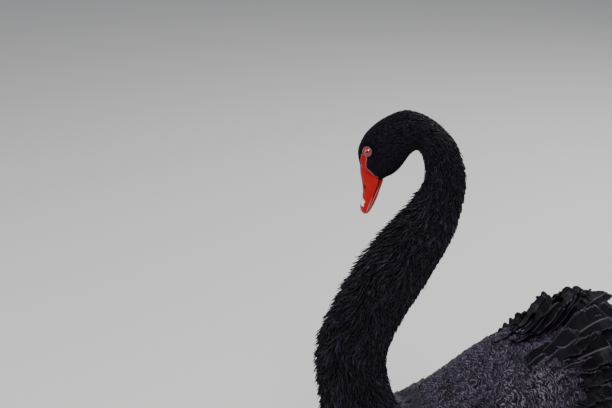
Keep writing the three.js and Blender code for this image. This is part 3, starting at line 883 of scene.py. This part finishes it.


# Curled barbs: on the mantle the vanes fray into fine crimped threads. Wavy bands, bent by
# noise, give a mask of thin curls, which colours the vane and raises it. The curls' pale
# colour is partly the threads' own and partly painted highlight.
curls, curls_in, curls_out = new_group(
    "curled_barbs",
    [("Scale", "NodeSocketFloat", 60), ("Thinness", "NodeSocketFloat", 0.8)],
    [("Curl", "NodeSocketFloat")],
)
sockets = {"Vector": object_place(curls), "Scale": curls_in.outputs["Scale"]}
sockets |= {"Distortion": 16.0, "Detail": 3.0, "Detail Scale": 1.3}
bands = node(curls, "ShaderNodeTexWave", sockets).outputs["Fac"]
curls.links.new(remap(curls, bands, curls_in.outputs["Thinness"], 1.0), curls_out.inputs["Curl"])
# Feather colours: black with a blue bloom, lilac-grey edges and threads, pale shafts and
# white quills. The edges and threads are partly the feathers' own pale fringes and partly
# painted highlight. Every coat material is made by the one function below.
FEATHER_BLACK, FEATHER_BLUE = (0.002, 0.0017, 0.0027, 1), (0.017, 0.0145, 0.026, 1)
EDGE_AND_HIGHLIGHT_LILAC = (0.13, 0.1, 0.155, 1)
THREAD_AND_HIGHLIGHT_LILAC, SHAFT_PALE = (0.19, 0.145, 0.22, 1), (0.2, 0.17, 0.22, 1)
QUILL_WHITE = (0.75, 0.74, 0.72, 1)
SHEEN_BLUE, SHEEN_LILAC = (0.5, 0.4, 0.9, 1), (0.6, 0.4, 0.9, 1)
BARB_DEPTH = 0.4 * MM


def feather_finish(
    name, barbs_per_vane, edge_width, edge, shaft, bump, curl=0.0, sheen=0.02, tint=SHEEN_BLUE,
    **shader_values,
):
    """Black feather with a blue-violet bloom by tone, pale edges that are partly the feathers'
    own fringes and partly painted highlight, a pale shaft, and curled threads, also partly
    painted highlight, in patches where the piece's frill allows them."""
    material, tree, shader = material_tree(
        name, Sheen_Weight=sheen, Sheen_Roughness=0.35, Sheen_Tint=tint, **shader_values
    )
    group = group_node(tree, barbs, {"Barb Count": barbs_per_vane, "Edge Width": edge_width})
    color = mix_colors(tree, attribute(tree, "tone"), FEATHER_BLACK, FEATHER_BLUE)
    # Pale edges and tips: partly the feathers' own pale fringes, partly painted highlight.
    fringe_and_highlight = math_node(tree, "MULTIPLY", group.outputs["Edge"], edge)
    color = mix_colors(tree, fringe_and_highlight, color, EDGE_AND_HIGHLIGHT_LILAC)
    height = group.outputs["Height"]
    if curl:
        threads = group_node(tree, curls, {"Scale": 58, "Thinness": 0.8})
        patchy = remap(tree, noise(tree, 34.0), 0.36, 0.6, 0.4, 1.0)
        thread = math_node(tree, "MULTIPLY", threads.outputs["Curl"], curl)
        for mask in (patchy, attribute(tree, "frill")):
            thread = math_node(tree, "MULTIPLY", thread, mask)
        # Lilac-grey curls: partly the threads' own colour, partly painted highlight.
        color = mix_colors(tree, thread, color, THREAD_AND_HIGHLIGHT_LILAC)
        height = math_node(tree, "ADD", height, math_node(tree, "MULTIPLY", thread, 4.0))
    middle = math_node(tree, "MULTIPLY", group.outputs["Shaft"], shaft)
    color = mix_colors(tree, middle, color, SHAFT_PALE)
    color = mix_colors(tree, attribute(tree, "white"), color, QUILL_WHITE)
    color_shader(tree, shader, color)
    add_bump(tree, shader, height, bump, BARB_DEPTH)
    return material


# Head feathers: the shortest of all, like velvet, growing from the forehead's point and
# the cheek's edge back over the crown. The eye, its lid and the red skin stay clear.
HEAD_ROWS, CLEAR_OF_EYE, CROWN_UP = (0.05, 6.2), 7.9, 706
down_finish = feather_finish(
    "velvet_feathers", barbs_per_vane=9, edge_width=0.3, edge=0.12, shaft=0.0, bump=0.5, sheen=0.015,
    Roughness=0.5, Specular_IOR_Level=0.08,
)
rng = np.random.default_rng(11)
rows, angles = staggered_roots(*HEAD_ROWS, feather_spacing(0.34), 1)
roots = body_surface(rows, angles)
forward, side, up = head_coordinates(roots)
hand = np.where(side > 0, 1, -1)
eye_centre = in_plane(EYE_FORWARD, hand * EYE_SIDE, EYE_UP, NECK_TURN)
from_eye = np.linalg.norm(roots - eye_centre, axis=-1) / MM
clear = (bareness(roots) < 0.5) & (from_eye > CLEAR_OF_EYE) & (rows > 0.12)
clear &= (up > CROWN_UP) | (forward < np.interp(up, LORE_UP, LORE_BACK))
rows, angles, from_eye = rows[clear], angles[clear], from_eye[clear]
count = len(rows)
length = feather_length(rows) * rng.uniform(0.8, 1.2, count)
length *= 0.45 + 0.55 * smoothstep(from_eye, 8, 13)
grid = vane_grid(3, 3)
points = lying_feathers(
    rows, angles, length, length * 0.3, turn=lie(angles, 0.25) + rng.normal(0, 0.16, count),
    root_depth=coat_depth(rows) * 1.15, tip_rise=rng.uniform(-0.25, 0.15, count), camber=0.12,
    grid=grid, round_tip=1.6,
)
tone = rng.uniform(0, 0.9, count) ** 2
coat_piece("head_feathers", points, rows / TAIL_ROOT, angles, grid, tone, down_finish, "plumage")

# Neck feathers: narrow, soft and a little wavy, in strands that overlap down the neck,
# longer towards the breast. Some tips stand away from the throat's side.
neck_finish = feather_finish(
    "neck_feathers", barbs_per_vane=14, edge_width=0.3, edge=0.13, shaft=0.0, bump=0.5,
    Roughness=0.4, Specular_IOR_Level=0.12,
)
grid = vane_grid(5, 3)
NECK_PIECES = [(6, 11.5, 0.235, "upper_neck_feathers"), (11.4, 17.4, 0.25, "lower_neck_feathers")]
for number, (first, last, share, name) in enumerate(NECK_PIECES):
    rng = np.random.default_rng(20 + number)
    rows, angles = staggered_roots(first, last, feather_spacing(share), 2 + number)
    count = len(rows)
    length = feather_length(rows) * rng.uniform(0.75, 1.3, count)
    throat = smoothstep(-np.cos(angles), 0.3, 0.9) * smoothstep(rows, 9.3, 11.3)
    stray = (rng.uniform(0, 1, count) < 0.05) * rng.uniform(0.6, 2.2, count)
    flare = (rng.uniform(0, 1, count) < 0.6 * throat) * rng.uniform(2, 6.5, count)
    swirl = 0.26 * np.sin(rows * 4.1 + 3 * angles) + 0.2 * np.sin(rows * 9.3 - 2 * angles)
    points = lying_feathers(
        rows, angles, length, length * rng.uniform(0.12, 0.2, count),
        turn=swirl + rng.normal(0, 0.16, count), root_depth=coat_depth(rows),
        tip_rise=rng.uniform(-1.6, 1.0, count) + stray, camber=0.3, grid=grid, round_tip=1.4,
        bend=rng.normal(0, 1.0, count), flare=flare,
    )
    tone = 0.8 * rng.uniform(0, 1.1, count) ** 2.5
    coat_piece(name, points, rows / TAIL_ROOT, angles, grid, tone, neck_finish, "plumage")

# Body feathers: broad and rounded on the breast, belly, flanks and rump, each with a soft
# paler edge, partly painted highlight, thinner under the folded wings.
body_finish = feather_finish(
    "body_feathers", barbs_per_vane=160, edge_width=0.1, edge=0.22, shaft=0.06, bump=0.2, curl=0.75,
    Roughness=0.42, Specular_IOR_Level=0.13,
)
BODY_FEATHER_ROWS, BODY_SPLIT_ROW, UNDER_WING = (17.2, 26.9), 21.5, 3
rng = np.random.default_rng(40)
rows, angles = staggered_roots(*BODY_FEATHER_ROWS, feather_spacing(0.27), 5)
open_body = folded_wing(rows, angles) <= UNDER_WING
grid = vane_grid(7, 4)
for name, part in (
    ("breast_feathers", rows < BODY_SPLIT_ROW),
    ("flank_and_rump_feathers", rows >= BODY_SPLIT_ROW),
):
    s, a = rows[open_body & part], angles[open_body & part]
    count = len(s)
    length = feather_length(s) * rng.uniform(0.85, 1.25, count)
    points = lying_feathers(
        s, a, length, length * rng.uniform(0.26, 0.34, count),
        turn=lie(a, 0.12) + rng.normal(0, 0.13, count), root_depth=coat_depth(s),
        tip_rise=rng.uniform(-1.5, 1.2, count), camber=0.12, grid=grid, round_tip=5, ripple=0.04,
        waves=2.0, phase=rng.uniform(0, 6, count), thickness=0.4,
    )
    on_mantle = 0.8 * smoothstep(s, 19, 20.5) * (1 - smoothstep(degrees_down(a), 50, 85))
    tone = rng.uniform(0, 1, count)
    coat_piece(name, points, s / TAIL_ROOT, a, grid, tone, body_finish, "plumage", frill=on_mantle)

# Thigh feathers: short soft vanes down the leg, ending in a ragged cuff over the scales.
# They grow on a tube round the leg's path.
THIGH_ROWS, THIGH_SPACING, THIGH_LENGTHS = (0.7, 3.05), 3.6, (12, 17)


def thigh_surface(row, angle, lift=0.0):
    """The left thigh as a tube round the leg's path, grown by lift millimetres."""
    row, angle, lift = np.broadcast_arrays(np.asarray(row, float), angle, lift)
    centre = along_table(LEG_PATH, row)
    side, across = square_to(along_table(LEG_PATH, row + 0.01) - along_table(LEG_PATH, row - 0.01))
    radius = (np.interp(row, range(9), LEG_RADII) + 2 + lift)[..., None]
    spoke = side * np.cos(angle)[..., None] + across * np.sin(angle)[..., None]
    return (centre + radius * spoke) * MM


grid = vane_grid(4, 3)
for name, hand in SIDES:
    rng = np.random.default_rng(50 + hand)
    rows, angles = staggered_roots(*THIGH_ROWS, lambda row: THIGH_SPACING + 0 * row, 9, thigh_surface)
    count = len(rows)
    length = rng.uniform(*THIGH_LENGTHS, count)
    points = lying_feathers(
        rows, angles, length, length * 0.25, turn=rng.normal(0, 0.2, count), root_depth=3.0,
        tip_rise=rng.uniform(-0.8, 1.0, count), camber=0.15, grid=grid, surface=thigh_surface,
        round_tip=2,
    )
    coat_piece(
        f"{name}_thigh_feathers", on_side(points, hand), 0.6 + 0.05 * rows, angles, grid,
        rng.uniform(0, 1, count), neck_finish, "plumage",
    )

# Wing coverts: overlapping vanes over the folded wing and the mantle, whose edges are
# finely crimped and catch the light in thin lilac-grey curls.
covert_finish = feather_finish(
    "covert_feathers", barbs_per_vane=110, edge_width=0.08, edge=0.6, shaft=0.1, bump=0.5, curl=0.85,
    tint=SHEEN_LILAC, Roughness=0.4, Specular_IOR_Level=0.12,
)
COVERT_ROWS, COVERT_SPACING, COVERT_DEPTH = (18.9, 26.9), 9.5, 8.0
COVERT_FRONT_LENGTH, COVERT_BACK_LENGTH = 30, 52
covert_rows, covert_angles = staggered_roots(*COVERT_ROWS, lambda row: COVERT_SPACING + 0 * row, 7)
grid = vane_grid(9, 5)
for name, hand in SIDES:
    rng = np.random.default_rng(60 + hand)
    kept = (folded_wing(covert_rows, covert_angles) > 0.5) & (np.sin(covert_angles) * hand > 0)
    s, a = covert_rows[kept], covert_angles[kept]
    count = len(s)
    back_share = smoothstep(s, 19, 25)
    length = COVERT_FRONT_LENGTH + (COVERT_BACK_LENGTH - COVERT_FRONT_LENGTH) * back_share
    length *= rng.uniform(0.85, 1.15, count)
    points = lying_feathers(
        s, a, length, length * rng.uniform(0.28, 0.36, count),
        turn=lie(a, 0.05) + rng.normal(0, 0.12, count), root_depth=COVERT_DEPTH,
        tip_rise=rng.uniform(-5.0, -2.0, count) + 4.0 * back_share, camber=0.12, grid=grid,
        round_tip=3.2, ripple=0.15, waves=3.6, phase=rng.uniform(0, 6, count), thickness=0.5,
    )
    frill = smoothstep(s, 18.8, 20.3) * (1 - 0.8 * smoothstep(degrees_down(a), 78, 112))
    frill = np.clip(frill * rng.uniform(0.65, 1.4, count), 0, 1)
    tone = rng.uniform(0, 0.6, count)
    coverts = coat_piece(
        f"{name}_wing_coverts", points, s / TAIL_ROOT, a, grid, tone, covert_finish, "wing_feathers",
        frill=frill,
    )
    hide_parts(f"wing_{name}")


def free_feathers(
    root, back, out, length, width, rise, grid, phase, ripple, waves, arch, round_tip, thickness,
    cup, cup_sign=1, curl=0.0, split=0.0,
):
    """Large feathers that stand off the body. From the root the shaft runs back and
    leaves the line by rise, a sine to a power; the vane cups, its edges ripple as waves
    that grow towards the edge, and the tip curls."""
    u, v, under = (part[None, ..., None] for part in grid)
    length, width, rise, phase, ripple, waves, curl = (
        per_vane(value, 3) for value in (length, width, rise, phase, ripple, waves, curl)
    )
    back = unit(back)
    side = unit(np.cross(out, back))
    out = np.cross(back, side)
    turns = u * waves * 2 * np.pi + phase
    broad = width * vane_outline(u, 0.5, round_tip) * (1 + 0.05 * np.sin(turns + 2))
    splits = np.sin(u * 23 + 7 * phase + 2 * np.sign(v)) ** 10 + np.sin(u * 37 + 5 * phase) ** 12
    broad = broad * (1 - split * splits * smoothstep(u, 0.3, 0.6))
    run = length * (u - 0.15 * u**3)
    lifted = rise * np.sin(np.pi * np.minimum(u, 1) * arch) ** 1.4
    lifted = lifted + ripple * (np.sin(turns + 1.5 * v) * np.abs(v) ** 1.6) * np.minimum(u * 2.5, 1)
    lifted = lifted + cup * np.sin(np.pi * u) * (v**2 - 0.4) * cup_sign
    lifted = lifted + curl * smoothstep(u, 0.7, 1) ** 2
    lifted = lifted - thickness * under * (1 - u**4)
    root, back, side, out = (part[:, None, None, :] for part in (root, back, side, out))
    return (root + back * run + side * broad * v + out * lifted) * MM


def wing_place(share, across, rise):
    """A place over the folded wing: share from front to back, across from its upper edge
    to its lower one, and rise in wing thicknesses, in millimetres."""
    along = share * (len(WING_STATIONS) - 1)
    row, top, bottom, thick = np.moveaxis(along_table(WING_STATIONS, along), -1, 0)
    angle = np.radians(top + (bottom - top) * across)
    plate = thick * (0.3 + 0.7 * np.sin(np.pi * across) ** 0.5)
    spot = body_surface(row, angle, 1.8 + plate * rise) / MM
    spot[..., 0] -= 36 * smoothstep(share, 0.8, 1)
    return spot


# Ruffled feathers: large curled tertials and scapulars, the swan's mark, that stand up
# over the back in ranks with wavy rims; their shafts are pale and their rims lilac-grey,
# partly as painted highlight.
RANK_RISE, FILE_RISE = [0.25, 0.58, 0.95, 1.0, 0.85, 0.7], [60, 50, 42, 31, 20, 8]
RUFFLE_LENGTHS, RUFFLE_HALF_WIDTHS = (64, 102), (22, 30)
ruffle_finish = feather_finish(
    "ruffled_feathers", barbs_per_vane=250, edge_width=0.045, edge=0.6, shaft=0.35, bump=0.6,
    sheen=0.01, tint=SHEEN_LILAC, Roughness=0.4, Specular_IOR_Level=0.09,
)
rank, file = (part.ravel() for part in np.meshgrid(np.arange(6), np.arange(6), indexing="ij"))
count, grid = len(rank), vane_grid(40, 13)
for name, hand in SIDES:
    rng = np.random.default_rng(80 + hand)
    share = 0.58 + 0.051 * rank + rng.uniform(-0.02, 0.02, count)
    across = 0.05 + 0.115 * file + 0.05 * (rank % 2) + rng.uniform(-0.02, 0.02, count)
    root = wing_place(share, across, 0.5)
    out = wing_place(share, across, 2.0) - root
    outward = 0.03 * file + rng.uniform(-0.1, 0.1, count)
    back = np.stack([-np.ones(count), outward, np.full(count, -0.1)], axis=-1)
    rise = np.take(RANK_RISE, rank) * np.take(FILE_RISE, file) * rng.uniform(0.78, 1.0, count)
    points = free_feathers(
        root, back, out, rng.uniform(*RUFFLE_LENGTHS, count), rng.uniform(*RUFFLE_HALF_WIDTHS, count),
        rise, grid, phase=rng.uniform(0, 6, count), ripple=rng.uniform(1.5, 5, count),
        waves=rng.uniform(1.6, 3.2, count), cup=9, arch=0.62, round_tip=5,
        curl=rng.uniform(-12, 8, count), split=0.1, thickness=0.35,
    )
    coat_piece(
        f"{name}_ruffled_feathers", on_side(points, hand), 0.69 + 0.3 * share,
        hand * np.radians(20 + 80 * across), grid, rng.uniform(0, 0.3, count), ruffle_finish,
        "wing_feathers",
    )

# Flight feathers: long narrow quills folded along the wing's lower edge. A swan's outer
# ones are white, and one shows here, as a slip between the black coverts.
quill_finish = feather_finish(
    "flight_feathers", barbs_per_vane=420, edge_width=0.03, edge=0.3, shaft=0.25, bump=0.3, sheen=0.0,
    Roughness=0.42, Specular_IOR_Level=0.16,
)
QUILLS, WHITE_QUILL, QUILL_LONGEST, QUILL_HALF_WIDTH, QUILL_RISE = 14, 1, 175, 12.0, 5.0
order, grid = np.linspace(0, 1, QUILLS), vane_grid(17, 5)
share, across = 0.44 + 0.3 * order, 0.93 - 0.28 * order
root = wing_place(share, across, 0.75)
out = wing_place(share, across, 2.0) - root
tip = np.stack([NECK_AXIS_X - 380 - 95 * order, 84 - 42 * order, 236 + 74 * order], axis=-1)
length = np.minimum(np.linalg.norm(tip - root, axis=-1) / 0.85, QUILL_LONGEST)
showing = (np.arange(QUILLS) == WHITE_QUILL)[:, None, None] * smoothstep(grid[0], 0.35, 0.6)[None]
for name, hand in SIDES:
    rng = np.random.default_rng(90 + hand)
    points = free_feathers(
        root, tip - root, out, length, QUILL_HALF_WIDTH, QUILL_RISE, grid,
        phase=rng.uniform(0, 6, QUILLS), ripple=0.4, waves=2, cup=1.5, cup_sign=-1, arch=0.9,
        thickness=0.6, round_tip=6,
    )
    coat_piece(
        f"{name}_flight_feathers", on_side(points, hand), 0.75 + 0.2 * order,
        hand * np.radians(90 - 10 * order), grid, rng.uniform(0, 0.6, QUILLS), quill_finish,
        "wing_feathers", white=showing,
    )

# Tail: a short fan of stiff rounded feathers in two tiers over the root of the tail.
# They share the flight feathers' finish.
TAIL_FEATHERS, TAIL_SPREAD, TAIL_LENGTH, TAIL_HALF_WIDTH = 15, np.radians(42), 150, 15.0
rng = np.random.default_rng(95)
share = np.linspace(-0.5, 0.5, TAIL_FEATHERS)
spread = TAIL_SPREAD * share
tier = np.arange(TAIL_FEATHERS) % 2
root = np.stack([NECK_AXIS_X - 424 + 0 * share, 30 * share, 322 - 3 * tier - 14 * np.abs(share)], axis=-1)
back = np.stack([-np.cos(spread), np.sin(spread), np.full(TAIL_FEATHERS, -0.06)], axis=-1)
out = np.stack([0 * share, 0.5 * share, np.ones(TAIL_FEATHERS)], axis=-1)
grid = vane_grid(21, 7)
points = free_feathers(
    root, back, out, TAIL_LENGTH * (1 - 0.35 * share**2), TAIL_HALF_WIDTH, 2.0, grid,
    phase=rng.uniform(0, 6, TAIL_FEATHERS), ripple=0.7, waves=3, cup=1.6, cup_sign=-1, arch=0.9,
    thickness=0.8, round_tip=6,
)
tail = coat_piece(
    "tail_feathers", points, np.full(TAIL_FEATHERS, 0.99), spread, grid,
    rng.uniform(0, 0.8, TAIL_FEATHERS), quill_finish, "wing_feathers",
)
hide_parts("tail")

# Floor and light: a wide pale floor, a bright even sky, and three soft square lamps that
# all look at the middle of the bird.
FLOOR_HALF, SKY_COLOR, SKY_STRENGTH = 30, (0.9, 0.93, 1.0, 1), 0.38
floor_mesh = bpy.data.meshes.new("floor")
corners = [(x * FLOOR_HALF, y * FLOOR_HALF, 0) for x, y in ((-1, -1), (1, -1), (1, 1), (-1, 1))]
floor_mesh.from_pydata(corners, [], [(0, 1, 2, 3)])
floor_finish, tree, shader = material_tree("floor_paint", Base_Color=(0.62, 0.61, 0.59, 1), Roughness=0.9)
floor = place_piece("floor", floor_mesh, [floor_finish])
world = bpy.data.worlds.new("studio")
world.use_nodes = True
sky = world.node_tree.nodes["Background"]
sky.inputs["Color"].default_value, sky.inputs["Strength"].default_value = SKY_COLOR, SKY_STRENGTH
bpy.context.scene.world = world
LAMPS = [
    ("key", (0.9, 1.6, 3.0), 1.4, 95, (1.0, 0.985, 0.98)),
    ("fill", (2.4, -0.6, 1.5), 2.0, 25, (0.93, 0.96, 1.0)),
    ("rim", (-1.9, -0.8, 2.6), 1.2, 80, (0.97, 0.98, 1.0)),
]
AIM = np.array([0.05, 0.0, 0.4])
for name, place, size, power, color in LAMPS:
    lamp_data = bpy.data.lights.new(name, "AREA")
    lamp_data.size, lamp_data.energy, lamp_data.color = size, power, color
    lamp = bpy.data.objects.new(name, lamp_data)
    toward = AIM - np.array(place)
    level = np.hypot(toward[0], toward[1])
    lamp.location = place
    lamp.rotation_euler = (np.arctan2(level, -toward[2]), 0, np.arctan2(toward[1], toward[0]) - np.pi / 2)
    bpy.context.scene.collection.objects.link(lamp)
